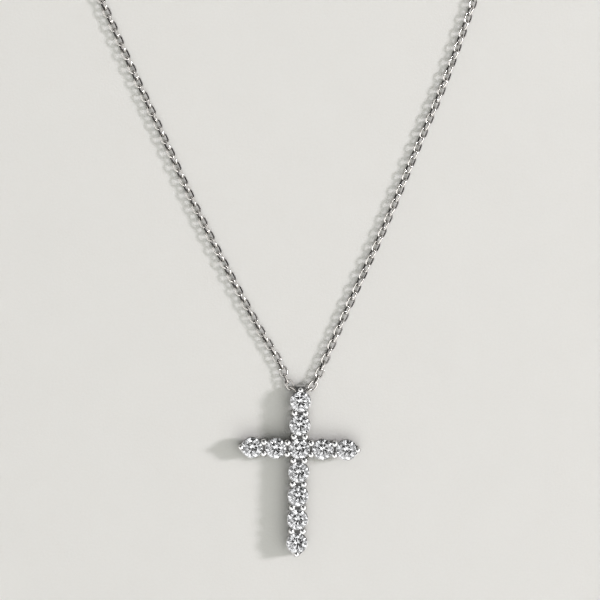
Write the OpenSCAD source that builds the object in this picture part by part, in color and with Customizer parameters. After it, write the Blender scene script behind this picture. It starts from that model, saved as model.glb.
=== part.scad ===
/* [Stones] */
// Diameter of each round stone across its girdle
stone_d = 2.9; // [2.6:0.05:3.1]
// Space between the girdles of two neighbouring stones
stone_gap = 0.55; // [0.45:0.05:0.65]
// Width of the table across its corners
table_d = 1.72; // [1.5:0.02:1.8]
// Slope of the crown's main facets, in degrees
crown_angle = 34.5; // [31:0.5:37]
// Slope of the pavilion's main facets, in degrees
pavilion_angle = 40.8; // [39:0.2:42]
// Height of the girdle where it is thickest
girdle_h = 0.1; // [0.08:0.01:0.14]
// Height of the girdle's top edge above the back of the cross
girdle_z = 2.65; // [2.6:0.05:3]
// How far each next stone is turned in its seat, in degrees
stone_turn = 17; // [0:1:45]

/* [Cross] */
// Stones in the upright above the centre stone
stones_above = 2; // [1:1:3]
// Stones in the upright below the centre stone
stones_below = 4; // [3:1:6]
// Stones in each side arm
stones_aside = 2; // [1:1:3]

/* [Setting] */
// Diameter of the post of a prong that two stones share
post_d = 0.86; // [0.8:0.02:0.9]
// Diameter of the round bead on a shared prong
bead_d = 1.02; // [0.96:0.02:1.06]
// How far a shared prong's bead reaches over a stone's girdle
bead_grip = 0.05; // [0.03:0.01:0.08]
// Diameter of the post of the single prong at an arm's end
tip_post_d = 0.76; // [0.7:0.02:0.8]
// Diameter of the round bead on an end prong
tip_bead_d = 0.84; // [0.8:0.02:0.92]
// How far an end prong's bead reaches over its stone's girdle
tip_grip = 0.23; // [0.18:0.01:0.26]
// Height of the tops of the beads above the girdle
bead_rise = 0.44; // [0.38:0.01:0.46]
// Wall of a seat outside the stone's girdle
seat_wall = 0.09; // [0.07:0.01:0.12]
// Height of a seat below the girdle
seat_h = 1.1; // [0.9:0.05:1.3]
// Diameter of the hole through a seat
seat_bore_d = 2; // [1.7:0.05:2.1]
// Thickness of the lattice of rings and bars at the back
back_h = 0.42; // [0.34:0.02:0.5]
// Outer diameter of a back ring
ring_d = 2.2; // [2:0.05:2.4]
// Width of the bars, and of a back ring's wall
bar_w = 0.46; // [0.4:0.02:0.5]
// How far the upper bars lie below the seats' upper edges
bar_drop = 0.2; // [0.15:0.05:0.4]
// Space left between a stone and the metal round it
stone_clear = 0.02; // [0.01:0.005:0.03]

/* [Bail] */
// Width of the hidden bail's band, along the chain
bail_w = 1.3; // [1.1:0.05:1.5]
// Thickness of the bail's band
bail_t = 0.3; // [0.26:0.02:0.34]
// Room above and below the chain in the bail
bail_room_h = 0.08; // [0.06:0.01:0.1]
// Room beside the chain in the bail
bail_room_l = 0.11; // [0.1:0.01:0.14]
// How far the bail stands out beyond the top stone's girdle
bail_reach = 0.95; // [0.92:0.01:1.05]

/* [Chain] */
// Diameter of the wire of a link
wire_d = 0.25; // [0.22:0.01:0.27]
// Outer width of a link
link_w = 1.26; // [1.2:0.02:1.3]
// Inner length of a link
link_in_l = 1.27; // [1.25:0.01:1.36]
// Play between two links that hang in each other
link_play = 0.13; // [0.11:0.01:0.15]
// Links modelled one by one on each side of the bail
front_links = 90; // [60:1:110]

/* [Clasp] */
// Outer diameter of the spring ring
clasp_d = 5.2; // [5:0.1:6]
// Diameter of the spring ring's tube
clasp_tube = 1; // [0.8:0.05:1.1]
// Outer diameter of the small rings that hold the chain's ends
ear_d = 1.6; // [1.5:0.05:1.8]
// Wire of those small rings
ear_wire = 0.34; // [0.3:0.02:0.38]
// Diameter of the thumb piece on the spring ring
nub_d = 0.9; // [0.7:0.05:1]

/* [Hidden] */
$fn = 48;
wire_fn = 24;

// The cut of a stone, as shares of the way along a facet
star_share = 0.5;
lower_share = 0.77;
stone_r = stone_d / 2;
table_r = table_d / 2;
girdle_low = girdle_z - girdle_h;
table_z = girdle_z + (stone_r - table_r) * tan(crown_angle);
culet_z = girdle_low - stone_r * tan(pavilion_angle);
// Stars and lower halves end between two main facets, an eighth of a turn apart
step = 360 / 8;
half = step / 2;
quarter = step / 4;
star_r = stone_r - (stone_r - table_r * cos(half)) * (1 - star_share);
star_z = girdle_z + (stone_r - star_r * cos(half)) * tan(crown_angle);
lower_r = stone_r * (1 - lower_share);
lower_z = girdle_low - (stone_r - lower_r * cos(half)) * tan(pavilion_angle);
// The girdle is thinner between two facet corners, where the flat facets cut into the round
scallop = stone_r * (1 - cos(quarter));
scallop_up = scallop * (star_z - girdle_z) / ((stone_r - star_r) * cos(quarter));
scallop_down = scallop * (girdle_low - lower_z) / ((stone_r - lower_r) * cos(quarter));

// Places along the arms
pitch = stone_d + stone_gap;
prong_reach = stone_r + bead_d / 2 - bead_grip;
pair_half = sqrt(prong_reach ^ 2 - (pitch / 2) ^ 2);
tip_reach = stone_r + tip_bead_d / 2 - tip_grip;
// name, direction in degrees, stones
ARMS = [
    ["top", 90, stones_above],
    ["bottom", 270, stones_below],
    ["left", 180, stones_aside],
    ["right", 0, stones_aside]
];
arm_stones = [for (arm = ARMS) for (i = [1:arm[2]]) [
    str("stone_", arm[0], "_", i),
    [i * pitch * cos(arm[1]), i * pitch * sin(arm[1]), 0]
]];
STONES = concat([["stone_centre", [0, 0, 0]]], arm_stones);

// The setting's heights
bead_top = girdle_z + bead_rise;
seat_low = girdle_z - seat_h;
seat_top = girdle_z - girdle_h / 2;
seat_r = stone_r + seat_wall;

// The bail is a band with a round upper end, open along the cross's arms
bail_open_h = link_w + 2 * bail_room_h;
bail_open_l = link_w + 2 * bail_room_l;
bail_leg = bail_open_l - bail_open_h / 2;
bail_z = bail_t + bail_open_h / 2;
bail_top = 2 * bail_t + bail_open_h;
bail_arc_y = stones_above * pitch + stone_r + bail_reach - bail_t - bail_open_h / 2;
// The chain passes through the middle of the bail's opening
eye_y = bail_arc_y + (bail_open_h / 2 - bail_leg) / 2;
// The top stone's seat and prong stand on the bail's front wall, just clear of its opening
top_low = bail_top - 0.8 * bail_t;
function seat_from(spot) = spot[1] > (stones_above - 0.5) * pitch ? top_low : seat_low;

// The chain's route from the middle of the bail to the clasp, seen from the front:
// points chosen by hand, measured from the bail
LEFT_ROUTE = [
    [0, 0], [-1.1, 0.35], [-1.9, 1.3], [-2.8, 3.3], [-6.4, 9.2], [-11.1, 17.4],
    [-16.2, 26.8], [-20.6, 35.8], [-24.9, 44.5], [-34, 64], [-42.5, 85], [-49, 108],
    [-51.5, 132], [-47.5, 156], [-37, 175.5], [-21, 188], [-3, 192]
];
RIGHT_ROUTE = [
    [0, 0], [1.1, 0.3], [1.95, 1.2], [2.85, 3.3], [7.1, 13.6], [11.5, 24],
    [16.3, 36.4], [20.3, 46.8], [23.5, 56.5], [29.5, 76], [36.5, 96], [43, 116],
    [46, 136], [42.5, 158], [32, 177], [15.5, 188.5], [-3, 192]
];
route_steps = 24;

// A smooth curve through the route's points, as a close row of points
function gap(r, i) = norm(r[i + 1] - r[i]);
function slope(r, i) =
    i == 0 ? [r[1][0] < 0 ? -1 : 1, 0]
    : i == len(r) - 1 ? [r[i - 1][0] < r[i][0] ? 1 : -1, 0]
    : ((r[i] - r[i - 1]) / gap(r, i - 1) * gap(r, i) + (r[i + 1] - r[i]) / gap(r, i) * gap(r, i - 1))
        / (gap(r, i - 1) + gap(r, i));
function blend(a, b, ta, tb, t) =
    a * (2 * t ^ 3 - 3 * t ^ 2 + 1) + ta * (t ^ 3 - 2 * t ^ 2 + t)
    + b * (3 * t ^ 2 - 2 * t ^ 3) + tb * (t ^ 3 - t ^ 2);
function smooth(r) = concat(
    [for (i = [0:len(r) - 2]) for (k = [0:route_steps - 1])
        blend(r[i], r[i + 1], slope(r, i) * gap(r, i), slope(r, i + 1) * gap(r, i), k / route_steps)],
    [r[len(r) - 1]]
);
function running(p) = [for (i = 0, s = 0; i < len(p); s = s + (i < len(p) - 1 ? norm(p[i + 1] - p[i]) : 0),
    i = i + 1) s];
// x, y and distance tables for lookup()
function tables(p, s) = [
    [for (i = [0:len(p) - 1]) [s[i], p[i][0]]],
    [for (i = [0:len(p) - 1]) [s[i], p[i][1]]],
    s[len(s) - 1]
];
function tabled(r) = let (p = smooth(r)) tables(p, running(p));
LEFT = tabled(LEFT_ROUTE);
RIGHT = tabled(RIGHT_ROUTE);

// Lying links lean one way and the other by turns, and turn flat and upright near the bail
link_lean = 29;
lean_wave = 5;
wave_l = 17;
bail_lean = 8;
settle_l = 9;
rise_l = 3;
function lean(s) = (link_lean + lean_wave * sin(360 * s / wave_l)) * (1 - exp(-(s / settle_l) ^ 2))
    + bail_lean * exp(-(s / settle_l) ^ 2);
// Height of two lying links that lean apart by a right angle, the flatter one by the given angle
function lying_h(turn) = (link_w - wire_d) * max(sin(turn), cos(turn)) + wire_d;
// Height of the middle of the chain: it lies on the surface, and rises to the bail
lying_gap = 0.01;
function lying_z(s) = lying_h(lean(s)) / 2 + lying_gap;
function chain_z(s) = lying_z(s) + (bail_z - lying_z(s)) * exp(-(s / rise_l) ^ 4);
function place(side, s) = [lookup(s, side[0]), eye_y + lookup(s, side[1]), chain_z(s)];

// Links from the bail to the clasp's ears fill each side evenly, and the first ones hang closer,
// where the chain turns
turning_links = 3;
turning_slack = 0.12;
link_out_l = link_in_l + 2 * wire_d;
ear_y = clasp_d / 2 + ear_d / 2 - 1.5 * ear_wire;
ear_hold = ear_y + ear_d / 2 - ear_wire - link_play + link_in_l / 2;
function link_run(side) = side[2] - ear_hold + turning_links * turning_slack;
function link_count(side) = ceil(link_run(side) / (link_in_l - link_play));
function link_s(side, i) =
    i * link_run(side) / link_count(side) - min(i, turning_links) * turning_slack;

// The back of the chain, as a round tube on the same route, as thick as the lying links are high
tube_sides = 8;
tube_gap = 0.15;
tube_rings = 38;
tube_half = lying_h(link_lean) / 2;
tube_r = tube_half / cos(180 / tube_sides);
function tube_start(side) = link_s(side, front_links) + link_out_l / 2 + tube_gap;
function tube_end(side) = side[2] - ear_y - ear_d / 2 - tube_gap;

// One round brilliant, cut from its table to its culet, on the Z axis
module stone() {
    function ring(r, z, turn, n) = [for (i = [0:n - 1]) [
        r * cos(turn + i * 360 / n), r * sin(turn + i * 360 / n), z
    ]];
    function girdle(z, dip) = [for (i = [0:31]) [
        stone_r * cos(i * quarter), stone_r * sin(i * quarter), z + (i % 2) * dip
    ]];
    points = concat(
        ring(table_r, table_z, 0, 8),
        ring(star_r, star_z, half, 8),
        girdle(girdle_z, -scallop_up),
        girdle(girdle_low, scallop_down),
        ring(lower_r, lower_z, half, 8),
        [[0, 0, culet_z]]
    );
    // Where each ring of points starts in the list
    star = 8;
    upper = 16;
    under = 48;
    lower = 80;
    culet = 88;
    faces = concat(
        [[for (i = [7:-1:0]) i]],
        [for (i = [0:7]) [i, (i + 1) % 8, star + i]],
        [for (i = [0:7]) [i, star + i, upper + 4 * i, star + (i + 7) % 8]],
        [for (i = [0:7]) for (k = [0, 2]) [
            star + i, upper + (4 * i + k + 2) % 32, upper + 4 * i + k + 1, upper + 4 * i + k
        ]],
        [for (i = [0:31]) [upper + i, upper + (i + 1) % 32, under + (i + 1) % 32, under + i]],
        [for (i = [0:7]) for (k = [0, 2]) [
            lower + i, under + 4 * i + k, under + 4 * i + k + 1, under + (4 * i + k + 2) % 32
        ]],
        [for (i = [0:7]) [culet, lower + (i + 7) % 8, under + 4 * i, lower + i]]
    );
    color("aliceblue") polyhedron(points = points, faces = faces);
}

// The room that a stone takes in the metal, as a round body a little larger than the stone
module stone_room() {
    down = stone_clear / cos(pavilion_angle);
    up = stone_clear / cos(crown_angle);
    rotate_extrude()
        polygon([
            [0, culet_z - down],
            [lower_r, lower_z - down],
            [stone_r + stone_clear, girdle_low],
            [stone_r + stone_clear, girdle_z],
            [star_r, star_z + up],
            [table_r, table_z + up],
            [0, table_z + up]
        ]);
}

module along(arm, distance) {
    rotate([0, 0, arm[1]])
        translate([distance, 0, 0])
            children();
}

// A post from a given height with a round bead on top
module prong(d, bead, low) {
    bead_z = bead_top - bead / 2;
    translate([0, 0, low])
        cylinder(d = d, h = bead_z - low);
    translate([0, 0, bead_z])
        sphere(d = bead);
}

// The ring that a stone sits in, from a given height
module seat(low) {
    translate([0, 0, low])
        difference() {
            cylinder(r = seat_r, h = seat_top - low);
            translate([0, 0, -seat_h])
                cylinder(d = seat_bore_d, h = 3 * seat_h);
        }
}

// Two prongs side by side between two stones, with a bar low down and one under the beads
module prong_pair() {
    for (side = [-1, 1])
        translate([0, side * pair_half, 0])
            prong(post_d, bead_d, 0);
    translate([-bar_w / 2, -pair_half, 0])
        cube([bar_w, 2 * pair_half, back_h]);
    translate([-bar_w / 2, -pair_half, seat_low])
        cube([bar_w, 2 * pair_half, seat_top - bar_drop - seat_low]);
}

// The pointed end of an arm: a wedge from the seat's sides to the single prong
module tip(low) {
    // The wedge's sides run just inside the two rounds that they join
    inset = 0.02;
    side_r = seat_r - inset;
    end_r = tip_post_d / 2 - inset;
    turn = acos((side_r - end_r) / tip_reach);
    wedge_low = max(seat_low, low);
    translate([0, 0, wedge_low])
        linear_extrude(seat_top - wedge_low)
            polygon([
                [side_r * cos(turn), -side_r * sin(turn)],
                [tip_reach + end_r * cos(turn), -end_r * sin(turn)],
                [tip_reach + end_r * cos(turn), end_r * sin(turn)],
                [side_r * cos(turn), side_r * sin(turn)]
            ]);
    translate([tip_reach, 0, 0])
        prong(tip_post_d, tip_bead_d, low);
}

// Flat rings and bars at the back, with a closed plate where the arms cross
module back_lattice() {
    difference() {
        union() {
            for (s = STONES)
                translate(s[1])
                    cylinder(d = ring_d, h = back_h);
            for (arm = ARMS)
                rotate([0, 0, arm[1]])
                    translate([0, -bar_w / 2, 0])
                        cube([arm[2] * pitch + (arm[0] == "top" ? 0 : tip_reach), bar_w, back_h]);
        }
        for (s = arm_stones)
            translate([s[1][0], s[1][1], -back_h])
                cylinder(d = ring_d - 2 * bar_w, h = 3 * back_h);
    }
}

// Turns a shape drawn in the bail's own outline, with Z along the chain
module at_bail() {
    translate([0, bail_arc_y, bail_z])
        rotate([90, 0, 90])
            children();
}

module bail() {
    inner = bail_open_h / 2;
    at_bail()
        translate([0, 0, -bail_w / 2]) {
            rotate([0, 0, -90])
                rotate_extrude(angle = 180)
                    translate([inner, 0])
                        square([bail_t, bail_w]);
            for (low = [-inner - bail_t, inner])
                translate([-bail_leg, low, 0])
                    cube([bail_leg, bail_t, bail_w]);
            translate([-bail_leg - bail_t, -inner - bail_t, 0])
                cube([bail_t, bail_top, bail_w]);
        }
}

// Clears the bail's opening of the back ring beside it
module bail_opening() {
    inner = bail_open_h / 2;
    at_bail()
        translate([-bail_leg, -inner, -ring_d])
            cube([bail_leg, bail_open_h, 2 * ring_d]);
}

module cross_setting() {
    color("silver")
        difference() {
            union() {
                back_lattice();
                bail();
                for (s = STONES)
                    translate(s[1])
                        seat(seat_from(s[1]));
                for (arm = ARMS) {
                    for (i = [1:arm[2]])
                        along(arm, (i - 0.5) * pitch)
                            prong_pair();
                    along(arm, arm[2] * pitch)
                        tip(arm[0] == "top" ? top_low : 0);
                }
            }
            bail_opening();
            for (s = STONES)
                translate(s[1])
                    stone_room();
        }
}

// Half of a round wire ring, from -90 to 90 degrees
module bend(outer_d, wire) {
    rotate([0, 0, -90])
        rotate_extrude(angle = 180, $fn = wire_fn)
            translate([(outer_d - wire) / 2, 0])
                circle(d = wire, $fn = wire_fn);
}

// One oval link of round wire, along X
module link() {
    straight = link_out_l - link_w;
    for (end = [0, 180])
        rotate([0, 0, end])
            translate([straight / 2, 0, 0])
                bend(link_w, wire_d);
    for (side = [-1, 1])
        translate([-straight / 2, side * (link_w - wire_d) / 2, 0])
            rotate([0, 90, 0])
                cylinder(d = wire_d, h = straight, $fn = wire_fn);
}

// Link number i of a side, counted from the bail, hung in its neighbours
module hung_link(side, i) {
    s = link_s(side, i);
    near = wire_d;
    ahead = place(side, s + near) - place(side, max(s - near, 0));
    heading = i == 0 ? 0 : atan2(ahead[1], ahead[0]);
    climb = i == 0 ? 0 : atan2(ahead[2], norm([ahead[0], ahead[1]]));
    translate(place(side, s))
        rotate([0, -climb, heading])
            rotate([lean(s) - (i % 2) * 90, 0, 0])
                link();
}

module chain_front() {
    color("gainsboro") {
        for (i = [0:front_links])
            hung_link(RIGHT, i);
        for (i = [1:front_links])
            hung_link(LEFT, i);
    }
}

// A round tube along one side of the route
module tube(side) {
    from = tube_start(side);
    run = (tube_end(side) - from) / tube_rings;
    function section(s) = let (
        p = place(side, s),
        ahead = place(side, s + wire_d) - place(side, s - wire_d),
        across = [ahead[1], -ahead[0], 0] / norm([ahead[0], ahead[1]])
    ) [for (k = [0:tube_sides - 1])
        let (turn = (k + 0.5) * 360 / tube_sides)
        [p[0], p[1], tube_half]
            + tube_r * (cos(turn) * across + sin(turn) * [0, 0, 1])];
    last = tube_rings * tube_sides;
    polyhedron(
        points = [for (k = [0:tube_rings]) each section(from + k * run)],
        faces = concat(
            [[for (j = [0:tube_sides - 1]) j]],
            [for (k = [0:tube_rings - 1]) for (j = [0:tube_sides - 1])
                let (a = k * tube_sides, next = (j + 1) % tube_sides)
                [a + j, a + tube_sides + j, a + tube_sides + next, a + next]],
            [[for (j = [tube_sides - 1:-1:0]) last + j]]
        )
    );
}

module chain_back() {
    color("gainsboro") {
        tube(LEFT);
        tube(RIGHT);
    }
}

// A plain spring ring, with a small ring for the chain on each side and a thumb piece
module clasp() {
    route_end = LEFT_ROUTE[len(LEFT_ROUTE) - 1];
    color("silver")
        translate([route_end[0], eye_y + route_end[1], clasp_tube / 2]) {
            for (end = [0, 180])
                rotate([0, 0, end]) {
                    bend(clasp_d, clasp_tube);
                    translate([ear_y, 0, 0])
                        rotate_extrude()
                            translate([(ear_d - ear_wire) / 2, 0])
                                circle(d = ear_wire);
                }
            translate([0, clasp_d / 2, 0])
                sphere(d = nub_d);
        }
}

cross_setting();
for (i = [0:len(STONES) - 1])
    translate(STONES[i][1]) rotate(i * stone_turn) stone();
chain_front();
chain_back();
clasp();
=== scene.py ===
"""Looks of a cross pendant of round stones on a fine cable chain, lying face up on a pale floor."""

import logging
import math
from collections.abc import Callable
from dataclasses import dataclass
from enum import Enum
from typing import Any

import bpy
from mathutils import Matrix, Vector


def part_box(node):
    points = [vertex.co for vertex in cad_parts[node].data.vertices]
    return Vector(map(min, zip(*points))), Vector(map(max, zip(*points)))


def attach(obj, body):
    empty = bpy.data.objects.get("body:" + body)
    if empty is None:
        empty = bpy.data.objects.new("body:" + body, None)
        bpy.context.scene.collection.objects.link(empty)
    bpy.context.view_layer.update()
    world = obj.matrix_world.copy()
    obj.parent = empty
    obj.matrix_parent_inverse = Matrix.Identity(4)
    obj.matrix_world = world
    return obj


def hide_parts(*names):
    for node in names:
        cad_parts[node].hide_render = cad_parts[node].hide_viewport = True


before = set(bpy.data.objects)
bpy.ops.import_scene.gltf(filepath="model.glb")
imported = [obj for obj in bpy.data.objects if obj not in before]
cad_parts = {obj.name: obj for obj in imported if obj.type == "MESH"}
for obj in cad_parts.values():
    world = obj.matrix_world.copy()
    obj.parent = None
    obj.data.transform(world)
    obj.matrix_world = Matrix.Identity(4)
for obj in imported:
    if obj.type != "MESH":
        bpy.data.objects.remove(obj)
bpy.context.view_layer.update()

ROOT = "root"
MM = 0.001
# Points closer than this, in millimetres, count as one
TOUCH = 0.001
# How much of an axis is at least in a direction along it, and at most in one across it
ALONG = 0.99
ACROSS = 0.1
LOG = logging.getLogger("cross_pendant")

Point = tuple[float, float, float]
Colour = tuple[float, float, float]
Test = Callable[[Vector, Vector], bool]


class Slot(Enum):
    """The record's material slots for metal."""

    SETTING = "setting_metal"
    CHAIN = "chain_metal"


class Kind(Enum):
    """What an edit picks."""

    VERT = "VERT"
    EDGE = "EDGE"
    FACE = "FACE"


class Arm(Enum):
    """The cross's arms: the word in their stones' names, and their direction in degrees."""

    TOP = ("top", 90.0)
    BOTTOM = ("bottom", 270.0)
    LEFT = ("left", 180.0)
    RIGHT = ("right", 0.0)

    @property
    def word(self) -> str:
        """The arm's name in the names of its stones."""
        return self.value[0]

    @property
    def turn(self) -> float:
        """The arm's direction in radians."""
        return math.radians(self.value[1])

    @property
    def stones(self) -> int:
        """How many stones the arm holds beside the centre stone."""
        return sum(name.startswith(f"stone_{self.word}_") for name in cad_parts)


@dataclass
class Bench:
    """One piece on the bench, shaped in millimetres with Blender's operators as by hand."""

    obj: bpy.types.Object

    @classmethod
    def start(cls, add: Callable[..., Any], **values: Any) -> "Bench":
        """Adds a primitive at its size and place.

        Args:
            add: the operator that adds it.
            values: the operator's settings.

        Returns:
            The primitive on the bench, with its place in its mesh.
        """
        bpy.ops.object.select_all(action="DESELECT")
        add(**values)
        bpy.ops.object.transform_apply(location=True, rotation=True, scale=True)
        return cls(bpy.context.object)

    @classmethod
    def block(cls, low: Point, high: Point) -> "Bench":
        """Adds a square block between its lowest and its highest corner."""
        spot, size = (Vector(low) + Vector(high)) / 2, Vector(high) - Vector(low)
        return cls.start(bpy.ops.mesh.primitive_cube_add, size=1, location=spot, scale=size)

    @classmethod
    def joined(cls, parts: "list[Bench]", name: str) -> "Bench":
        """Joins several pieces into one.

        Args:
            parts: the pieces, in order.
            name: the name of what they make.

        Returns:
            The first piece, which now holds them all.
        """
        bpy.ops.object.select_all(action="DESELECT")
        for part in parts:
            part.obj.select_set(True)
        bpy.context.view_layer.objects.active = parts[0].obj
        bpy.ops.object.transform_apply(location=True, rotation=True, scale=True)
        bpy.ops.object.join()
        parts[0].obj.name = parts[0].obj.data.name = name
        return parts[0]

    def only(self) -> None:
        """Selects this piece alone."""
        bpy.ops.object.select_all(action="DESELECT")
        self.obj.select_set(True)
        bpy.context.view_layer.objects.active = self.obj

    def pick(self, kind: Kind, test: Test) -> None:
        """Goes into edit mode with some of the piece selected.

        Args:
            kind: what is selected.
            test: says whether an element is, from its middle and its normal or direction.
        """
        self.only()
        bpy.ops.object.mode_set(mode="EDIT")
        bpy.ops.mesh.select_mode(type=kind.value)
        bpy.ops.mesh.select_all(action="DESELECT")
        bpy.ops.object.mode_set(mode="OBJECT")
        mesh = self.obj.data
        if kind is Kind.FACE:
            for face in mesh.polygons:
                face.select = test(face.center, face.normal)
        elif kind is Kind.EDGE:
            for edge in mesh.edges:
                a, b = (mesh.vertices[i].co for i in edge.vertices)
                edge.select = test((a + b) / 2, (b - a).normalized())
        else:
            for vert in mesh.vertices:
                vert.select = test(vert.co, vert.normal)
        bpy.ops.object.mode_set(mode="EDIT")

    def pick_all(self) -> None:
        """Goes into edit mode with all of the piece selected."""
        self.only()
        bpy.ops.object.mode_set(mode="EDIT")
        bpy.ops.mesh.select_all(action="SELECT")

    def done(self) -> "Bench":
        """Leaves edit mode and gives the piece back."""
        bpy.ops.object.mode_set(mode="OBJECT")
        return self

    def extrude(self, way: Point, grow: float = 1.0) -> None:
        """Pulls the picked faces out, and widens or narrows them round the Z axis.

        Args:
            way: how far they move.
            grow: their new width over their old width, in X and Y.
        """
        bpy.ops.mesh.extrude_region_move(TRANSFORM_OT_translate={"value": way})
        if grow != 1.0:
            bpy.ops.transform.resize(value=(grow, grow, 1.0), center_override=(0.0, 0.0, 0.0))

    def pierce(self, edge: float) -> None:
        """Cuts a hole through the piece between its flat top and bottom.

        Args:
            edge: the width that stays round the hole.
        """
        self.pick(Kind.FACE, lambda _, normal: abs(normal.z) > ALONG)
        bpy.ops.mesh.inset(thickness=edge, use_even_offset=True)
        bpy.ops.mesh.bridge_edge_loops()
        self.done()

    def round_edges(self, width: float, segments: int, test: Test) -> None:
        """Rounds some edges off.

        Args:
            width: how far the round reaches from the edge.
            segments: the steps in the round.
            test: says which edges, from their middle and direction.
        """
        self.pick(Kind.EDGE, test)
        bpy.ops.mesh.bevel(offset=width, segments=segments, affect="EDGES")
        self.done()

    def seal(self) -> None:
        """Merges points that touch, and turns the faces outwards."""
        self.pick_all()
        bpy.ops.mesh.remove_doubles(threshold=TOUCH)
        bpy.ops.mesh.normals_make_consistent(inside=False)
        self.done()

    def copy(self, turn: float, place: Point) -> "Bench":
        """Copies the piece, moved to a place and then turned about the Z axis, in radians."""
        return self.copy_to(Matrix.Rotation(turn, 4, "Z") @ Matrix.Translation(place))

    def copy_to(self, matrix: Matrix) -> "Bench":
        """Copies the piece to any place.

        Args:
            matrix: the turn and the move that take it there.

        Returns:
            The copy on the bench, with a mesh of its own.
        """
        twin = self.obj.copy()
        twin.data = self.obj.data.copy()
        twin.matrix_world = matrix
        bpy.context.scene.collection.objects.link(twin)
        return Bench(twin)

    def drop(self) -> None:
        """Takes the piece off the bench for good."""
        mesh = self.obj.data
        bpy.data.objects.remove(self.obj)
        bpy.data.meshes.remove(mesh)

    def cut(self, cutter: "Bench") -> None:
        """Welds the piece's own overlapping solids together and cuts others out of it.

        Args:
            cutter: the solids that are cut out. It is dropped afterwards.
        """
        self.only()
        knife = self.obj.modifiers.new("cut", "BOOLEAN")
        knife.operation = "DIFFERENCE"
        knife.solver = "EXACT"
        knife.use_self = True
        knife.object = cutter.obj
        bpy.ops.object.modifier_apply(modifier=knife.name)
        cutter.drop()

    def finish(self, smooth_angle: float, material: bpy.types.Material) -> bpy.types.Object:
        """Seals, smooths and dresses the piece, and brings it into the frame.

        Args:
            smooth_angle: faces that meet at less than this, in degrees, are shaded as one.
            material: the piece's finish.

        Returns:
            The finished object, at the origin, with its place in its mesh.
        """
        self.seal()
        bpy.ops.object.shade_smooth_by_angle(angle=math.radians(smooth_angle))
        self.obj.scale = (MM, MM, MM)
        bpy.ops.object.transform_apply(location=True, rotation=True, scale=True)
        wear(self.obj, material)
        return self.obj


def wear(obj: bpy.types.Object, material: bpy.types.Material) -> None:
    """Gives an object one material in place of all others."""
    obj.data.materials.clear()
    obj.data.materials.append(material)


@dataclass(frozen=True)
class Value:
    """A shader node's output. Python's operators on it add Math nodes."""

    graph: "Graph"
    socket: bpy.types.NodeSocket

    def _math(self, operation: str, first: "Value | float", second: "Value | float") -> "Value":
        """A Math node on two values."""
        return self.graph.add("ShaderNodeMath", {"operation": operation}, {0: first, 1: second})

    def __add__(self, other: "Value | float") -> "Value":
        """Sum."""
        return self._math("ADD", self, other)

    def __radd__(self, other: float) -> "Value":
        """Sum with a number first."""
        return self._math("ADD", other, self)

    def __sub__(self, other: "Value | float") -> "Value":
        """Difference."""
        return self._math("SUBTRACT", self, other)

    def __rsub__(self, other: float) -> "Value":
        """Difference from a number."""
        return self._math("SUBTRACT", other, self)

    def __mul__(self, other: "Value | float") -> "Value":
        """Product."""
        return self._math("MULTIPLY", self, other)

    def __rmul__(self, other: float) -> "Value":
        """Product with a number first."""
        return self._math("MULTIPLY", other, self)


class Graph:
    """A node tree that is filled by expressions."""

    def __init__(self, tree: bpy.types.NodeTree) -> None:
        """Takes up the node tree of a material or of the world, and empties it."""
        self.tree = tree
        tree.nodes.clear()

    def node(
        self, kind: str, settings: dict[str, Any], sockets: dict[str | int, Any]
    ) -> bpy.types.Node:
        """Adds any node.

        Args:
            kind: Blender's name for the node's type.
            settings: the node's own settings, such as operation.
            sockets: values, or links, of its input sockets.

        Returns:
            The new node.
        """
        node = self.tree.nodes.new(kind)
        for name, value in settings.items():
            setattr(node, name, value)
        for name, value in sockets.items():
            if isinstance(value, Value):
                self.tree.links.new(value.socket, node.inputs[name])
            else:
                node.inputs[name].default_value = value
        return node

    def add(
        self,
        kind: str,
        settings: dict[str, Any] | None = None,
        sockets: dict[str | int, Any] | None = None,
        out: str | int = 0,
    ) -> Value:
        """Adds any node, as node does, and gives the output that is wanted."""
        return Value(self, self.node(kind, settings or {}, sockets or {}).outputs[out])

    def ramp(
        self, value: Value, low: float, high: float, start: float = 0.0, end: float = 1.0
    ) -> Value:
        """A soft step.

        Args:
            value: what is looked at.
            low: the value where the step starts.
            high: the value where it ends.
            start: the result below low.
            end: the result above high.

        Returns:
            The stepped value.
        """
        ends = {"From Min": low, "From Max": high, "To Min": start, "To Max": end}
        soft = {"interpolation_type": "SMOOTHSTEP"}
        return self.add("ShaderNodeMapRange", soft, {"Value": value, **ends})

    def mix(self, factor: Value, first: Any, second: Any) -> Value:
        """A blend of two colours of four numbers, with the share of the second."""
        sockets = {"Factor": factor, 6: first, 7: second}
        return self.add("ShaderNodeMix", {"data_type": "RGBA"}, sockets, out=2)

    def along(self, vector: Value, way: Point) -> Value:
        """A vector's length along a direction of length 1."""
        dot = {"operation": "DOT_PRODUCT"}
        return self.add("ShaderNodeVectorMath", dot, {0: vector, 1: way}, out=1)

    def noise(
        self, vector: Value, scale: float, detail: float = 2.0, roughness: float = 0.5
    ) -> Value:
        """Even noise from 0 to 1, by its waves in a metre, its finer layers and their share."""
        sockets = {"Vector": vector, "Scale": scale, "Detail": detail, "Roughness": roughness}
        return self.add("ShaderNodeTexNoise", {}, sockets)

    def bump(self, strength: float, depth: float, height: Value) -> Value:
        """The normal with a fine relief on it, by how much shows and its depth in millimetres."""
        sockets = {"Strength": strength, "Distance": depth * MM, "Height": height}
        return self.add("ShaderNodeBump", {}, sockets)


def rgba(colour: Colour) -> tuple[float, float, float, float]:
    """A colour with a full fourth channel."""
    return (*colour, 1.0)


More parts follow.
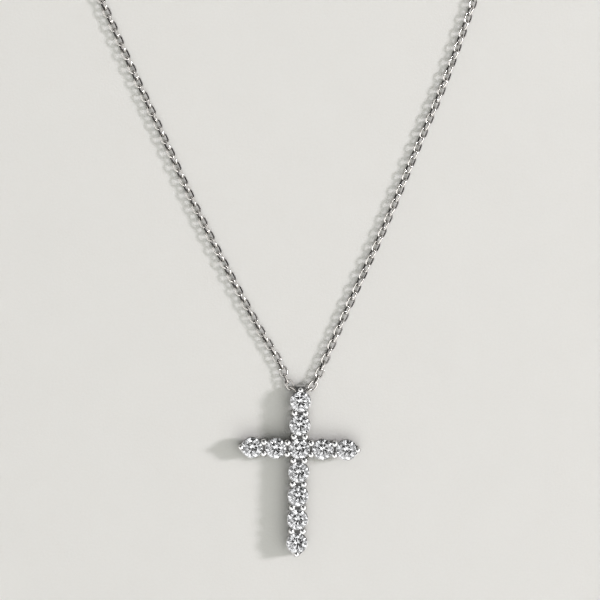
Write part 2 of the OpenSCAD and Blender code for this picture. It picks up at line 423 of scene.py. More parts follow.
@dataclass(frozen=True)
class Finish:
    """A procedural finish, which reads the piece's own Object coordinates."""

    name: str

    def sockets(self, g: Graph, spot: Value) -> dict[str, Any]:
        """The Principled shader's sockets, which each kind of finish fills in its own way."""
        raise NotImplementedError

    def material(self) -> bpy.types.Material:
        """Makes the finish as a material.

        Returns:
            The new material.
        """
        made = bpy.data.materials.new(self.name)
        made.use_nodes = True
        g = Graph(made.node_tree)
        spot = g.add("ShaderNodeTexCoord", out="Object")
        shader = g.add("ShaderNodeBsdfPrincipled", {}, self.sockets(g, spot))
        g.node("ShaderNodeOutputMaterial", {}, {"Surface": shader})
        return made


@dataclass(frozen=True)
class WhiteGold(Finish):
    """Polished white gold, rougher low down and on its sides, where the wheel doesn't reach, and
    painted darker there as shade.
    """

    face: Colour = (0.83, 0.82, 0.80)
    # The colour painted on the low parts and the steep sides as shade, much darker than the metal's
    # own
    painted_shade: Colour = (0.42, 0.415, 0.41)
    # Below the top height, in millimetres, the metal turns rougher and takes the painted shade,
    # over the fade beneath it
    shade_and_dull_top: float = 2.62
    shade_and_dull_fade: float = 0.2
    # How far up the surface must face, from 0 to 1, before the painted shade on the sides gives way
    # to the metal's own colour
    side_shade_from: float = 0.35
    side_shade_to: float = 0.7
    polish: float = 0.07
    cast: float = 0.28
    smear: float = 0.05
    smear_shade: float = 0.15
    smear_size: float = 0.9
    scratch_size: float = 0.06
    scratch_depth: float = 0.004
    scratch_show: float = 0.35

    def sockets(self, g: Graph, spot: Value) -> dict[str, Any]:
        """Works the metal's polish, and its painted shade, out from its height and the way it
        faces.

        Args:
            g: the material's node tree.
            spot: the place on the piece.

        Returns:
            What the Principled shader's sockets hold.
        """
        height = g.along(spot, (0.0, 0.0, 1.0))
        facing = g.along(g.add("ShaderNodeTexCoord", out="Normal"), (0.0, 0.0, 1.0))
        low = self.shade_and_dull_top - self.shade_and_dull_fade
        # 1 where the metal is high and faces up, polished and in its own colour; 0 low down and on
        # steep sides, rougher and painted with shade
        polish_and_unshaded = g.ramp(height, low * MM, self.shade_and_dull_top * MM)
        polish_and_unshaded = polish_and_unshaded * g.ramp(facing, self.side_shade_from, self.side_shade_to)
        smears = g.noise(spot, 1 / (self.smear_size * MM), detail=3.0)
        grain = g.noise(spot, 1 / (self.scratch_size * MM), detail=4.0, roughness=0.6)
        # The share of the metal's own colour against the painted shade, with a faint random tone
        # from the smears
        bright = polish_and_unshaded * (1 - self.smear_shade + self.smear_shade * smears)
        rough = self.cast + polish_and_unshaded * (self.polish - self.cast) + (smears - 0.5) * self.smear
        return {
            "Base Color": g.mix(bright, rgba(self.painted_shade), rgba(self.face)),
            "Roughness": rough,
            "Normal": g.bump(self.scratch_show, self.scratch_depth, grain),
            "Metallic": 1.0,
        }


@dataclass(frozen=True)
class Brilliant(Finish):
    """A clear cut stone: polished facets, and a frosted girdle between two heights."""

    girdle_low: float
    girdle_high: float
    body: Colour = (1.0, 1.0, 1.0)
    girdle: Colour = (0.92, 0.93, 0.94)
    refraction: float = 2.417
    frost: float = 0.3
    soft: float = 0.01

    def sockets(self, g: Graph, spot: Value) -> dict[str, Any]:
        """Works the stone's colour and polish out from its height.

        Args:
            g: the material's node tree.
            spot: the place on the stone.

        Returns:
            What the Principled shader's sockets hold.
        """
        height = g.along(spot, (0.0, 0.0, 1.0))
        above = g.ramp(height, (self.girdle_low - self.soft) * MM, self.girdle_low * MM)
        top = (self.girdle_high + self.soft) * MM
        below = g.ramp(height, self.girdle_high * MM, top, 1.0, 0.0)
        frosted = above * below
        return {
            "Base Color": g.mix(frosted, rgba(self.body), rgba(self.girdle)),
            "Roughness": frosted * self.frost,
            "IOR": self.refraction,
            "Transmission Weight": 1.0,
        }


@dataclass(frozen=True)
class PaleFloor(Finish):
    """A plain pale matt surface with a faint tooth."""

    name: str = "pale_floor"
    light: Colour = (0.83, 0.815, 0.795)
    dark: Colour = (0.76, 0.745, 0.725)
    patch: float = 9.0
    tooth: float = 0.35
    tooth_share: float = 0.7
    tooth_depth: float = 0.05
    tooth_show: float = 0.5
    matt: float = 0.85
    sheen: float = 0.2
    fluff: float = 0.5

    def sockets(self, g: Graph, spot: Value) -> dict[str, Any]:
        """Works the floor's faint patches and tooth out.

        Args:
            g: the material's node tree.
            spot: the place on the floor.

        Returns:
            What the Principled shader's sockets hold.
        """
        patches = g.noise(spot, 1 / (self.patch * MM))
        tooth = g.noise(spot, 1 / (self.tooth * MM), detail=3.0, roughness=0.7)
        shade = patches * (1 - self.tooth_share) + tooth * self.tooth_share
        return {
            "Base Color": g.mix(shade, rgba(self.light), rgba(self.dark)),
            "Roughness": self.matt,
            "Normal": g.bump(self.tooth_show, self.tooth_depth, tooth),
            "Specular IOR Level": self.sheen,
            "Subsurface Weight": 1.0,
            "Subsurface Radius": (1.0, 1.0, 1.0),
            "Subsurface Scale": self.fluff * MM,
        }


def box_of(node: str) -> tuple[Vector, Vector]:
    """A CAD node's lowest and highest corners in millimetres."""
    low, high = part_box(node)
    return low / MM, high / MM


@dataclass
class Stones:
    """The eleven round brilliants, which stay as cut, with a finish of their own."""

    girdle_h: float = 0.1
    crown_angle: float = 34.5
    pavilion_angle: float = 40.8
    table_d: float = 1.72

    def __post_init__(self) -> None:
        """Reads the stones' sizes off the centre stone and its neighbour."""
        low, high = box_of("stone_centre")
        self.radius = (high.x - low.x) / 2
        crown = (self.radius - self.table_d / 2) * math.tan(math.radians(self.crown_angle))
        self.table_z = high.z
        self.culet_z = low.z
        self.girdle_z = high.z - crown
        right_low, right_high = box_of("stone_right_1")
        self.pitch = (right_low.x + right_high.x) / 2

    @property
    def names(self) -> list[str]:
        """The stones' node names."""
        return sorted(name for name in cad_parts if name.startswith("stone_"))

    def places(self) -> list[Point]:
        """Finds the stones, as seen from the front.

        Returns:
            The middle of each stone, in the order of their names.
        """
        middles = []
        for name in self.names:
            low, high = box_of(name)
            middles.append(((low.x + high.x) / 2, (low.y + high.y) / 2, 0.0))
        return middles

    def dress(self) -> None:
        """Gives every stone its finish."""
        finish = Brilliant("clear_brilliant", self.girdle_z - self.girdle_h, self.girdle_z)
        material = finish.material()
        for name in self.names:
            wear(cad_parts[name], material)
            LOG.info("%s dressed", name)


@dataclass
class Setting:
    """The metal of the cross: seats, prongs, bars, the pierced back and the bail, all soldered."""

    stones: Stones
    post_d: float = 0.86
    bead_d: float = 1.02
    bead_grip: float = 0.05
    tip_post_d: float = 0.76
    tip_bead_d: float = 0.84
    tip_grip: float = 0.23
    bead_rise: float = 0.44
    seat_wall: float = 0.09
    seat_h: float = 1.1
    seat_bore_d: float = 2.0
    back_h: float = 0.42
    ring_d: float = 2.2
    bar_w: float = 0.46
    bar_drop: float = 0.2
    stone_clear: float = 0.02
    bail_w: float = 1.3
    bail_t: float = 0.3
    bail_open_h: float = 1.42
    bail_open_l: float = 1.48
    bail_reach: float = 0.95
    # The share of the bail's wall that the top seat and prong are soldered into
    bail_hold: float = 0.8
    # A bead's neck is this share of the post under it, and so doesn't share the post's side
    neck_in: float = 0.96
    # Soldered pieces stand this far inside one another, so that no two faces share a plane
    hair: float = 0.004
    wedge_in: float = 0.02
    # The radius of the blunt end of a stone's room, under its point
    room_end_r: float = 0.02
    edge_round: float = 0.035
    edge_steps: int = 2
    round_steps: int = 64
    bead_steps: int = 32
    smooth_angle: float = 32.0
    # Its finish paints a mid-grey shade on the low parts under the stones' girdles and on the steep
    # sides
    finish: WhiteGold = WhiteGold("polished_setting")

    def __post_init__(self) -> None:
        """Works out the places that follow from the sizes."""
        stones = self.stones
        self.pitch = stones.pitch
        self.bead_top = stones.girdle_z + self.bead_rise
        self.seat_low = stones.girdle_z - self.seat_h
        self.seat_top = stones.girdle_z - stones.girdle_h / 2
        self.seat_r = stones.radius + self.seat_wall
        reach = stones.radius + self.bead_d / 2 - self.bead_grip
        self.pair_half = math.sqrt(reach**2 - (self.pitch / 2) ** 2)
        self.tip_reach = stones.radius + self.tip_bead_d / 2 - self.tip_grip
        self.bail_z = self.bail_t + self.bail_open_h / 2
        self.bail_top = 2 * self.bail_t + self.bail_open_h
        self.bail_leg = self.bail_open_l - self.bail_open_h / 2
        self.top_low = self.bail_top - self.bail_hold * self.bail_t
        top_reach = Arm.TOP.stones * self.pitch + stones.radius + self.bail_reach
        self.bail_arc_y = top_reach - self.bail_t - self.bail_open_h / 2

    @property
    def eye_y(self) -> float:
        """The middle of the bail's opening, which the chain passes through."""
        return self.bail_arc_y + (self.bail_open_h / 2 - self.bail_leg) / 2

    def prong(self, post_d: float, bead_d: float, low: float) -> Bench:
        """Makes a post with a round bead on top, standing on the Z axis.

        Args:
            post_d: the post's diameter.
            bead_d: the bead's diameter.
            low: the height of its foot.

        Returns:
            The prong on the bench.
        """
        bead_z = self.bead_top - bead_d / 2
        part = Bench.start(
            bpy.ops.mesh.primitive_uv_sphere_add,
            segments=self.bead_steps,
            ring_count=self.bead_steps // 2,
            radius=bead_d / 2,
            location=(0.0, 0.0, bead_z),
        )
        neck_z = bead_z - math.sqrt(bead_d**2 - (self.neck_in * post_d) ** 2) / 2
        part.pick_all()
        bpy.ops.mesh.bisect(
            plane_co=(0.0, 0.0, neck_z),
            plane_no=(0.0, 0.0, 1.0),
            use_fill=True,
            clear_inner=True,
            threshold=TOUCH,
        )
        part.done()
        part.pick(
            Kind.FACE, lambda middle, normal: normal.z < -ALONG and middle.z < neck_z + TOUCH
        )
        shoulder = self.edge_round
        part.extrude((0.0, 0.0, -shoulder), 1 / self.neck_in)
        part.extrude((0.0, 0.0, low - neck_z + shoulder))
        return part.done()

    def prongs(self) -> list[Bench]:
        """Makes all prongs: two between each two stones, and one at the end of each arm.

        Returns:
            The prongs in their places.
        """
        pair = self.prong(self.post_d, self.bead_d, 0.0)
        tip = self.prong(self.tip_post_d, self.tip_bead_d, 0.0)
        top_tip = self.prong(self.tip_post_d, self.tip_bead_d, self.top_low)
        made = []
        for arm in Arm:
            for i in range(arm.stones):
                for side in (-1, 1):
                    place = ((i + 0.5) * self.pitch, side * self.pair_half, 0.0)
                    made.append(pair.copy(arm.turn, place))
            end = top_tip if arm is Arm.TOP else tip
            made.append(end.copy(arm.turn, (arm.stones * self.pitch + self.tip_reach, 0.0, 0.0)))
        for pattern in (pair, tip, top_tip):
            pattern.drop()
        return made

    def ring(self, radius: float, wall: float, low: float, high: float) -> Bench:
        """Makes a flat ring with its outer edges rounded off, on the Z axis.

        Args:
            radius: its outer radius.
            wall: its width, or 0 for a closed disc.
            low: the height of its under side.
            high: the height of its top.

        Returns:
            The ring on the bench.
        """
        part = Bench.start(
            bpy.ops.mesh.primitive_cylinder_add,
            vertices=self.round_steps,
            radius=radius,
            depth=high - low,
            location=(0.0, 0.0, (low + high) / 2),
        )
        part.round_edges(self.edge_round, self.edge_steps, lambda _, way: abs(way.z) < ACROSS)
        if wall:
            part.pierce(wall - self.edge_round)
        return part

    def rings(self) -> list[Bench]:
        """Makes a seat and a back ring for every stone, with a plate behind the centre stone.

        Returns:
            The rings in their places.
        """
        wall = self.seat_r - self.seat_bore_d / 2
        seat = self.ring(self.seat_r, wall, self.seat_low, self.seat_top)
        top_seat = self.ring(self.seat_r, wall, self.top_low, self.seat_top)
        back = self.ring(self.ring_d / 2, self.bar_w, 0.0, self.back_h)
        plate = self.ring(self.ring_d / 2, 0.0, 0.0, self.back_h)
        top_y = (Arm.TOP.stones - 0.5) * self.pitch
        made = []
        for place in self.stones.places():
            made.append((top_seat if place[1] > top_y else seat).copy(0.0, place))
            made.append((back if Vector(place).length > self.pitch / 2 else plate).copy(0.0, place))
        for pattern in (seat, top_seat, back, plate):
            pattern.drop()
        return made

    def bar(self, low: Point, high: Point) -> Bench:
        """Makes a bar with its edges rounded off.

        Args:
            low: its lowest corner.
            high: its highest corner.

        Returns:
            The bar on the bench.
        """
        part = Bench.block(low, high)
        part.round_edges(self.edge_round, self.edge_steps, lambda *_: True)
        return part

    def bars(self) -> list[Bench]:
        """Makes the flat bars of the back, and those that join each pair of prongs.

        Returns:
            The bars in their places.
        """
        half, hair = self.bar_w / 2, self.hair
        hold = self.ring_d / 2 - half
        top = self.back_h - hair
        patterns = {
            "link": self.bar((hold, -half, hair), (self.pitch - hold, half, top)),
            "end": self.bar((hold, -half, hair), (self.tip_reach, half, top)),
            "low": self.bar((-half, -self.pair_half, hair), (half, self.pair_half, top)),
            "high": self.bar(
                (-half, -self.pair_half, self.seat_low + hair),
                (half, self.pair_half, self.seat_top - self.bar_drop),
            ),
        }
        made = []
        for arm in Arm:
            for i in range(arm.stones):
                made.append(patterns["link"].copy(arm.turn, (i * self.pitch, 0.0, 0.0)))
                for level in ("low", "high"):
                    place = ((i + 0.5) * self.pitch, 0.0, 0.0)
                    made.append(patterns[level].copy(arm.turn, place))
            if arm is not Arm.TOP:
                made.append(patterns["end"].copy(arm.turn, (arm.stones * self.pitch, 0.0, 0.0)))
        for pattern in patterns.values():
            pattern.drop()
        return made

    def tips(self) -> list[Bench]:
        """Makes the wedges from the last seats to the single prongs.

        Returns:
            The wedges in their places.
        """
        side_r = self.seat_r - self.wedge_in
        end_r = self.tip_post_d / 2 - self.wedge_in
        turn = math.acos((side_r - end_r) / self.tip_reach)
        near, far = side_r * math.cos(turn), self.tip_reach + end_r * math.cos(turn)
        wide, narrow = side_r * math.sin(turn), end_r * math.sin(turn)
        made = []
        for arm in Arm:
            low = self.top_low if arm is Arm.TOP else self.seat_low
            wedge = Bench.block(
                (near, -wide, low + self.hair), (far, wide, self.seat_top - self.hair)
            )
            wedge.pick(Kind.VERT, lambda spot, _: spot.x > (near + far) / 2)
            bpy.ops.transform.resize(
                value=(1.0, narrow / wide, 1.0), center_override=(far, 0.0, 0.0)
            )
            wedge.done()
            wedge.round_edges(self.edge_round, self.edge_steps, lambda _, way: abs(way.z) < ACROSS)
            made.append(wedge.copy(arm.turn, (arm.stones * self.pitch, 0.0, 0.0)))
            wedge.drop()
        return made

    def bail(self) -> Bench:
        """Makes the bail: a band spun round its upper end, with straight legs to a wall.

        Returns:
            The bail in its place.
        """
        inner = self.bail_open_h / 2
        outer = inner + self.bail_t
        arc_y = self.bail_arc_y
        middle = (0.0, arc_y, self.bail_z + (inner + outer) / 2)
        band = Bench.start(
            bpy.ops.mesh.primitive_plane_add,
            size=1,
            location=middle,
            rotation=(math.pi / 2, 0.0, 0.0),
        )
        band.pick_all()
        bpy.ops.transform.resize(value=(self.bail_w, 1.0, self.bail_t), center_override=middle)
        bpy.ops.mesh.spin(
            steps=self.round_steps // 2,
            angle=math.pi,
            center=(0.0, arc_y, self.bail_z),
            axis=(1.0, 0.0, 0.0),
        )
        band.done()
        back = self.bail_leg + self.bail_t
        band.pick(
            Kind.FACE, lambda middle, normal: abs(normal.y) > ALONG and middle.y < arc_y + TOUCH
        )
        band.extrude((0.0, -back, 0.0))
        band.done()
        band.seal()
        half = self.bail_w / 2
        wall = Bench.block(
            (-half, arc_y - back, self.bail_z - inner - self.bail_t / 2),
            (half, arc_y - self.bail_leg, self.bail_z + inner + self.bail_t / 2),
        )
        return Bench.joined([band, wall], "bail")

    def room(self) -> Bench:
        """Makes the room that a stone takes in the metal, from its point to its table.

        Returns:
            The room on the bench, on the Z axis.
        """
        stones = self.stones
        down = self.stone_clear / math.cos(math.radians(stones.pavilion_angle))
        up = self.stone_clear / math.cos(math.radians(stones.crown_angle))
        reach = stones.radius + self.stone_clear
        profile = [
            (self.room_end_r, stones.culet_z - down),
            (reach, stones.girdle_z - stones.girdle_h),
            (reach, stones.girdle_z),
            (stones.table_d / 2, stones.table_z + up),
        ]
        part = Bench.start(
            bpy.ops.mesh.primitive_circle_add,
            vertices=self.round_steps,
            radius=profile[0][0],
            fill_type="NGON",
            location=(0.0, 0.0, profile[0][1]),
        )
        part.pick_all()
        for (r0, z0), (r1, z1) in zip(profile, profile[1:]):
            part.extrude((0.0, 0.0, z1 - z0), r1 / r0)
        part.done()
        part.seal()
        return part

    def rooms(self) -> Bench:
        """Makes what is cut out of the metal: the stones' rooms and the bail's opening.

        Returns:
            All of it as one piece, in its place.
        """
        room = self.room()
        made = [room.copy(0.0, place) for place in self.stones.places()]
        room.drop()
        inner = self.bail_open_h / 2
        opening = Bench.block(
            (-self.ring_d, self.bail_arc_y - self.bail_leg, self.bail_z - inner),
            (self.ring_d, self.bail_arc_y, self.bail_z + inner),
        )
        return Bench.joined([*made, opening], "rooms")

    def build(self) -> None:
        """Models the whole setting and puts it in the place of its CAD solid."""
        parts = [*self.prongs(), *self.rings(), *self.bars(), *self.tips(), self.bail()]
        metal = Bench.joined(parts, "cross_setting_metal")
        metal.cut(self.rooms())
        piece = metal.finish(self.smooth_angle, self.finish.material())
        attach(piece, ROOT)
        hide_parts("cross_setting")
        LOG.info("%s: %d faces", piece.name, len(piece.data.polygons))


@dataclass
class Route:
    """One side of the chain's way from the bail's eye to the clasp, seen from the front."""

    points: tuple[tuple[float, float], ...]
    steps: int = 24

    def __post_init__(self) -> None:
        """Draws a smooth curve through the points, and measures along it."""
        knots = [Vector(p) for p in self.points]
        gaps = [(b - a).length for a, b in zip(knots, knots[1:])]
        out = -1.0 if knots[1].x < 0 else 1.0
        last = 1.0 if knots[-2].x < knots[-1].x else -1.0
        slopes = [Vector((out, 0.0))]
        for i in range(1, len(knots) - 1):
            before = (knots[i] - knots[i - 1]) / gaps[i - 1]
            after = (knots[i + 1] - knots[i]) / gaps[i]
            slopes.append((before * gaps[i] + after * gaps[i - 1]) / (gaps[i - 1] + gaps[i]))
        slopes.append(Vector((last, 0.0)))
        self.line: list[Vector] = []
        for i, gap in enumerate(gaps):
            for k in range(self.steps):
                t = k / self.steps
                self.line.append(
                    knots[i] * (2 * t**3 - 3 * t**2 + 1)
                    + slopes[i] * gap * (t**3 - 2 * t**2 + t)
                    + knots[i + 1] * (3 * t**2 - 2 * t**3)
                    + slopes[i + 1] * gap * (t**3 - t**2)
                )
        self.line.append(knots[-1])
        self.far = [0.0]
        for a, b in zip(self.line, self.line[1:]):
            self.far.append(self.far[-1] + (b - a).length)

    @property
    def length(self) -> float:
        """The route's whole length."""
        return self.far[-1]

    def at(self, s: float) -> Vector:
        """Finds a point on the route.

        Args:
            s: its distance from the start.

        Returns:
            The point, or the nearer end where the distance is past it.
        """
        s = min(max(s, 0.0), self.length)
        low, high = 0, len(self.far) - 1
        while high - low > 1:
            middle = (low + high) // 2
            low, high = (middle, high) if self.far[middle] <= s else (low, middle)
        share = (s - self.far[low]) / (self.far[high] - self.far[low])
        return self.line[low].lerp(self.line[high], share)


LEFT_ROUTE = Route((
    (0, 0), (-1.1, 0.35), (-1.9, 1.3), (-2.8, 3.3), (-6.4, 9.2), (-11.1, 17.4),
    (-16.2, 26.8), (-20.6, 35.8), (-24.9, 44.5), (-34, 64), (-42.5, 85), (-49, 108),
    (-51.5, 132), (-47.5, 156), (-37, 175.5), (-21, 188), (-3, 192),
))
RIGHT_ROUTE = Route((
    (0, 0), (1.1, 0.3), (1.95, 1.2), (2.85, 3.3), (7.1, 13.6), (11.5, 24),
    (16.3, 36.4), (20.3, 46.8), (23.5, 56.5), (29.5, 76), (36.5, 96), (43, 116),
    (46, 136), (42.5, 158), (32, 177), (15.5, 188.5), (-3, 192),
))


@dataclass
class Clasp:
    """The plain spring ring with a small ring for the chain on each side and a thumb piece."""

    outer_d: float = 5.2
    tube_d: float = 1.0
    ear_d: float = 1.6
    ear_wire: float = 0.34
    # How far a small ring stands in the large one, in wires
    ear_sink: float = 1.5
    nub_d: float = 0.9
    steps: int = 56
    wire_steps: int = 20
    smooth_angle: float = 40.0
    # A height that is well clear of the clasp
    clear_z: float = 10.0

    @property
    def ear_reach(self) -> float:
        """From the middle of the clasp to the middle of a small ring."""
        return self.outer_d / 2 + self.ear_d / 2 - self.ear_sink * self.ear_wire

    def hoop(self, outer_d: float, wire_d: float, place: Point) -> Bench:
        """Makes a round ring of round wire, lying flat.

        Args:
            outer_d: its outer diameter.
            wire_d: the wire's diameter.
            place: its middle.

        Returns:
            The ring on the bench.
        """
        return Bench.start(
            bpy.ops.mesh.primitive_torus_add,
            major_segments=self.steps,
            minor_segments=self.wire_steps,
            major_radius=(outer_d - wire_d) / 2,
            minor_radius=wire_d / 2,
            location=place,
        )

    def build(self, material: bpy.types.Material) -> None:
        """Models the clasp and puts it in the place of its CAD solid.

        Args:
            material: the chain's finish.
        """
        low, high = box_of("clasp")
        x, y, z = (low.x + high.x) / 2, low.y + self.outer_d / 2, self.tube_d / 2
        nub = Bench.start(
            bpy.ops.mesh.primitive_uv_sphere_add,
            segments=self.wire_steps,
            ring_count=self.wire_steps // 2,
            radius=self.nub_d / 2,
            location=(x, y + self.outer_d / 2, z),
        )
        parts = [self.hoop(self.outer_d, self.tube_d, (x, y, z)), nub]
        for side in (-1, 1):
            place = (x + side * self.ear_reach, y, z)
            parts.append(self.hoop(self.ear_d, self.ear_wire, place))
        ring = Bench.joined(parts, "spring_ring")
        # The cut also welds the rings to each other, and the block that it takes lies clear of them
        ring.cut(Bench.block((x, y, self.clear_z), (x + 1.0, y + 1.0, self.clear_z + 1.0)))
        piece = ring.finish(self.smooth_angle, material)
        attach(piece, ROOT)
        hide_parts("clasp")
        LOG.info("%s: %d faces", piece.name, len(piece.data.polygons))


@dataclass
class CableChain:
    """The whole loop of fine cable chain, every link hung in the next."""

    clasp: Clasp
    eye_y: float
    eye_z: float
    wire_d: float = 0.25
    link_w: float = 1.26
    link_in_l: float = 1.27
    play: float = 0.13
    front_links: int = 90
    turning_links: int = 3
    turning_slack: float = 0.12
    lean: float = 29.0
    lean_wave: float = 5.0
    wave_l: float = 17.0
    bail_lean: float = 8.0
    settle_l: float = 9.0
    rise_l: float = 3.0
    lying_gap: float = 0.01
    round_steps: int = 14
    wire_steps: int = 6
    smooth_angle: float = 70.0
    finish: WhiteGold = WhiteGold(
        "polished_chain",
        face=(0.86, 0.82, 0.77),
        # Its painted shade is near black, so the wires' sides and low parts are painted dark, as
        # outlines
        painted_shade=(0.07, 0.066, 0.062),
        shade_and_dull_top=0.9,
        shade_and_dull_fade=0.5,
        side_shade_from=0.2,
        side_shade_to=0.6,
        polish=0.05,
        cast=0.15,
    )

    def lean_at(self, s: float) -> float:
        """Works out how far a link leans.

        Args:
            s: its distance from the bail.

        Returns:
            Its lean in degrees.
        """
        near = math.exp(-((s / self.settle_l) ** 2))
        lying = self.lean + self.lean_wave * math.sin(2 * math.pi * s / self.wave_l)
        return lying * (1 - near) + self.bail_lean * near

    def place(self, side: Route, s: float) -> Vector:
        """Finds the middle of the chain.

        Args:
            side: the side of the chain.
            s: the distance from the bail.

        Returns:
            The point, which lies low and rises to the bail.
        """
        turn = math.radians(self.lean_at(s))
        lying = (self.link_w - self.wire_d) / 2 * max(math.sin(turn), math.cos(turn))
        lying += self.wire_d / 2 + self.lying_gap
        spot = side.at(s)
        rise = math.exp(-((s / self.rise_l) ** 4))
        return Vector((spot.x, self.eye_y + spot.y, lying + (self.eye_z - lying) * rise))

    def distances(self, side: Route) -> list[float]:
        """Shares the links out along one side, from the bail to the clasp's small ring.

        Args:
            side: the side of the chain.

        Returns:
            How far each link's middle is from the bail.
        """
        hold = self.clasp.ear_reach + self.clasp.ear_d / 2 - self.clasp.ear_wire - self.play
        hold += self.link_in_l / 2
        run = side.length - hold + self.turning_links * self.turning_slack
        count = math.ceil(run / (self.link_in_l - self.play))
        return [
            i * run / count - min(i, self.turning_links) * self.turning_slack
            for i in range(count + 1)
        ]

    def pose(self, side: Route, i: int, s: float) -> Matrix:
        """Works out how a link hangs.

        Args:
            side: the side of the chain that it is on.
            i: its number, counted from the bail.
            s: its distance from the bail.

        Returns:
            The matrix that takes a link along X there.
        """
        ahead = self.place(side, s + self.wire_d) - self.place(side, s - self.wire_d)
        heading = math.atan2(ahead.y, ahead.x) if i else 0.0
        climb = math.atan2(ahead.z, math.hypot(ahead.x, ahead.y)) if i else 0.0
        roll = math.radians(self.lean_at(s) - (i % 2) * 90)
        return (
            Matrix.Translation(self.place(side, s))
            @ Matrix.Rotation(heading, 4, "Z")
            @ Matrix.Rotation(-climb, 4, "Y")
            @ Matrix.Rotation(roll, 4, "X")
        )

    def link(self) -> Bench:
        """Makes one oval link along X, from a round ring whose two halves are pulled apart.

        Returns:
            The link on the bench.
        """
        # The straight sides end at corners a half step from the middle, so the round is wider
        wide = 1 / math.cos(math.pi / self.round_steps)
        ring_r = (self.link_w - self.wire_d) / 2 * wide
        part = Bench.start(
            bpy.ops.mesh.primitive_torus_add,
            major_segments=self.round_steps,
            minor_segments=self.wire_steps,
            major_radius=ring_r,
            minor_radius=self.wire_d / 2,
        )
        pull = (self.link_in_l + self.wire_d) / 2 - ring_r
        for side in (-1, 1):
            part.pick(Kind.VERT, lambda spot, _: spot.x * side > 0)
            bpy.ops.transform.translate(value=(side * pull, 0.0, 0.0))
            part.done()
        return part

    def stretch(
        self, name: str, node: str, poses: list[Matrix], material: bpy.types.Material
    ) -> None:
        """Models a stretch of the chain and puts it in the place of its CAD solid.

        Args:
            name: the piece's name.
            node: the CAD node that it replaces.
            poses: where its links hang.
            material: the chain's finish.
        """
        pattern = self.link()
        run = Bench.joined([pattern.copy_to(pose) for pose in poses], name)
        pattern.drop()
        piece = run.finish(self.smooth_angle, material)
        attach(piece, ROOT)
        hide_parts(node)
        LOG.info("%s: %d links, %d faces", name, len(poses), len(piece.data.polygons))

    def build(self, material: bpy.types.Material) -> None:
        """Models the front and the back of the chain.

        Args:
            material: the chain's finish.
        """
        near, far = [], []
        for side in (RIGHT_ROUTE, LEFT_ROUTE):
            for i, s in enumerate(self.distances(side)):
                # The link in the bail belongs to both sides, and is hung once
                if i or side is RIGHT_ROUTE:
                    (near if i <= self.front_links else far).append(self.pose(side, i, s))
        self.stretch("chain_by_the_cross", "chain_front", near, material)
        self.stretch("chain_to_the_clasp", "chain_back", far, material)


@dataclass(frozen=True)
class Patch:
    """A round part of the studio, brighter or darker than the rest.

    Its way points to its middle, inner and outer are the angles in degrees where its edge starts
    and ends, and strength is its brightness.
    """

    way: Point
    inner: float
    outer: float
    strength: float

    def over(self, graph: Graph, way: Value, rest: Value | float) -> Value:
        """Lays the patch over the rest of the studio.

        Args:
            graph: the world's node tree.
            way: the direction that is looked in.
            rest: the brightness without the patch.

        Returns:
            The brightness with it.
        """
        towards = graph.along(way, tuple(Vector(self.way).normalized()))
        edge = math.cos(math.radians(self.outer))
        inside = graph.ramp(towards, edge, math.cos(math.radians(self.inner)))
        return rest * (1 - inside) + inside * self.strength


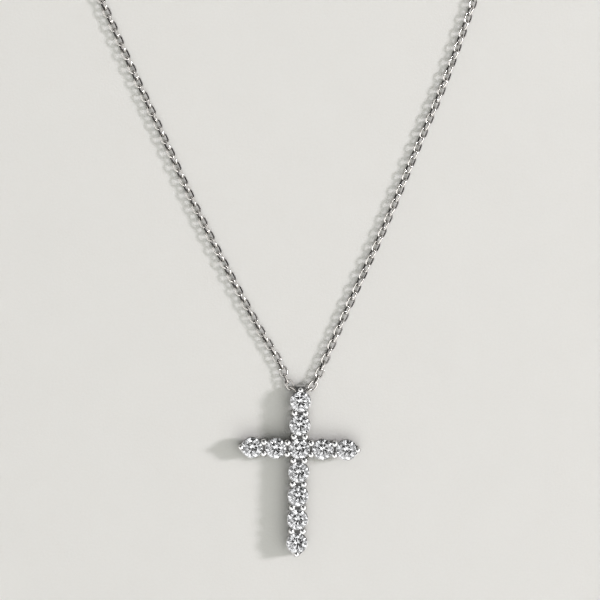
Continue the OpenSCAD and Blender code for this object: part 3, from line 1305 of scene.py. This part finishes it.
@dataclass
class Studio:
    """The pale floor, the soft light and the camera straight above."""

    frame_px: int = 600
    px_mm: float = 0.1462
    centre_stone_px: tuple[float, float] = (299.3, 448.7)
    cross_lean: float = 1.45
    lens: float = 100.0
    sensor: float = 36.0
    sharp_z: float = 2.6
    clip_near: float = 0.01
    clip_far: float = 50.0
    # The key light's height over the floor and its way round, in degrees, and its distance
    key_height: float = 30.5
    key_round: float = 9.5
    key_far: float = 1.6
    key_spread: float = 9.0
    key_strength: float = 99.0
    key_colour: Colour = (1.0, 0.97, 1.01)
    # What lights the floor: one bright part of darker walls
    fill: Patch = Patch((0.25, -0.30, 0.92), 24.0, 48.0, 1.80)
    fill_walls: float = 0.127
    # What the metal and the stones show: an even room with dark and bright patches in it
    room: float = 1.13
    patches: tuple[Patch, ...] = (
        Patch((-0.30, 0.89, 0.34), 45.7, 53.3, 0.08),
        Patch((0.42, 0.24, 0.88), 13.4, 16.9, 0.03),
        Patch((-0.25, 0.36, 0.90), 11.3, 15.2, 0.04),
        Patch((-0.69, -0.46, 0.55), 8.4, 14.3, 0.04),
        Patch((0.18, -0.45, 0.88), 8.2, 11.7, 0.03),
        Patch((-0.10, -0.76, 0.64), 6.1, 8.2, 0.03),
        Patch((0.14, 0.01, 0.99), 16.7, 21.2, 0.03),
        Patch((0.70, -0.25, 0.67), 10.4, 21.1, 4.01),
        Patch((-0.15, -0.79, 0.59), 15.1, 20.1, 1.83),
        Patch((-0.66, -0.52, 0.54), 5.0, 15.1, 1.95),
        Patch((0.31, 0.61, 0.73), 4.8, 10.3, 1.7),
    )
    air: Colour = (0.985, 0.99, 1.0)
    walls: Colour = (0.965, 0.985, 0.945)
    backdrop: Colour = (0.74, 0.725, 0.705)
    floor_size: float = 8.0
    floor_gap: float = 0.01
    bounces: int = 24
    mirror_bounces: int = 8
    clamp: float = 12.0

    def floor(self) -> None:
        """Lays the floor just under the piece."""
        part = Bench.start(
            bpy.ops.mesh.primitive_plane_add,
            size=self.floor_size,
            location=(0.0, 0.0, -self.floor_gap * MM),
        )
        part.obj.name = "pale_floor"
        part.obj.data.materials.append(PaleFloor().material())

    def camera(self) -> None:
        """Puts the camera over the frame's middle, turned as the cross leans in it."""
        off_x = (self.frame_px / 2 - self.centre_stone_px[0]) * self.px_mm
        off_y = (self.centre_stone_px[1] - self.frame_px / 2) * self.px_mm
        turn = math.radians(self.cross_lean)
        x = off_x * math.cos(turn) - off_y * math.sin(turn)
        y = off_x * math.sin(turn) + off_y * math.cos(turn)
        far = self.frame_px * self.px_mm * self.lens / self.sensor
        bpy.ops.object.camera_add(
            location=(x * MM, y * MM, (self.sharp_z + far) * MM), rotation=(0.0, 0.0, turn)
        )
        camera = bpy.context.object
        camera.data.lens = self.lens
        camera.data.sensor_width = self.sensor
        camera.data.clip_start = self.clip_near
        camera.data.clip_end = self.clip_far
        bpy.context.scene.camera = camera

    def key(self) -> None:
        """Hangs the soft key light on the right."""
        height, turn = math.radians(self.key_height), math.radians(self.key_round)
        level = math.cos(height)
        way = Vector((level * math.cos(turn), level * math.sin(turn), math.sin(height)))
        radius = self.key_far * math.tan(math.radians(self.key_spread / 2))
        bpy.ops.object.light_add(
            type="AREA",
            location=way * self.key_far,
            rotation=way.to_track_quat("Z", "Y").to_euler(),
        )
        light = bpy.context.object
        light.name = "key_light"
        light.data.shape = "DISK"
        light.data.size = 2 * radius
        light.data.energy = self.key_strength * math.pi * (math.pi * radius**2)
        light.data.color = self.key_colour

    def surroundings(self) -> None:
        """Makes the room's light, and the lamps and dark corners that metal and stones show."""
        world = bpy.data.worlds.new("studio")
        bpy.context.scene.world = world
        world.use_nodes = True
        g = Graph(world.node_tree)
        way = g.add("ShaderNodeTexCoord", out="Generated")
        lamps: Value | float = self.room
        for patch in self.patches:
            lamps = patch.over(g, way, lamps)
        fill = self.fill.over(g, way, self.fill_walls)
        lights, gleams, shows = (
            g.add("ShaderNodeBackground", {}, {"Color": rgba(colour), "Strength": strength})
            for colour, strength in ((self.walls, fill), (self.air, lamps), (self.backdrop, 1.0))
        )
        by_polish = g.add("ShaderNodeLightPath", out="Is Glossy Ray")
        by_camera = g.add("ShaderNodeLightPath", out="Is Camera Ray")
        unseen = g.add("ShaderNodeMixShader", {}, {0: by_polish, 1: lights, 2: gleams})
        both = g.add("ShaderNodeMixShader", {}, {0: by_camera, 1: unseen, 2: shows})
        g.node("ShaderNodeOutputWorld", {}, {"Surface": both})

    def build(self) -> None:
        """Sets up the floor, camera, lights and the way that light is shown."""
        self.floor()
        self.camera()
        self.key()
        self.surroundings()
        scene = bpy.context.scene
        scene.view_settings.view_transform = "Standard"
        scene.cycles.max_bounces = self.bounces
        scene.cycles.transmission_bounces = self.bounces
        scene.cycles.glossy_bounces = self.mirror_bounces
        scene.cycles.sample_clamp_indirect = self.clamp
        scene.cycles.caustics_reflective = False
        scene.cycles.caustics_refractive = False


def main() -> None:
    """Builds and dresses every piece."""
    logging.basicConfig(level=logging.INFO, format="%(message)s")
    stones = Stones()
    stones.dress()
    setting = Setting(stones)
    setting.build()
    clasp = Clasp()
    chain = CableChain(clasp, eye_y=setting.eye_y, eye_z=setting.bail_z)
    metal = chain.finish.material()
    chain.build(metal)
    clasp.build(metal)
    Studio().build()


if __name__ == "__main__":
    main()
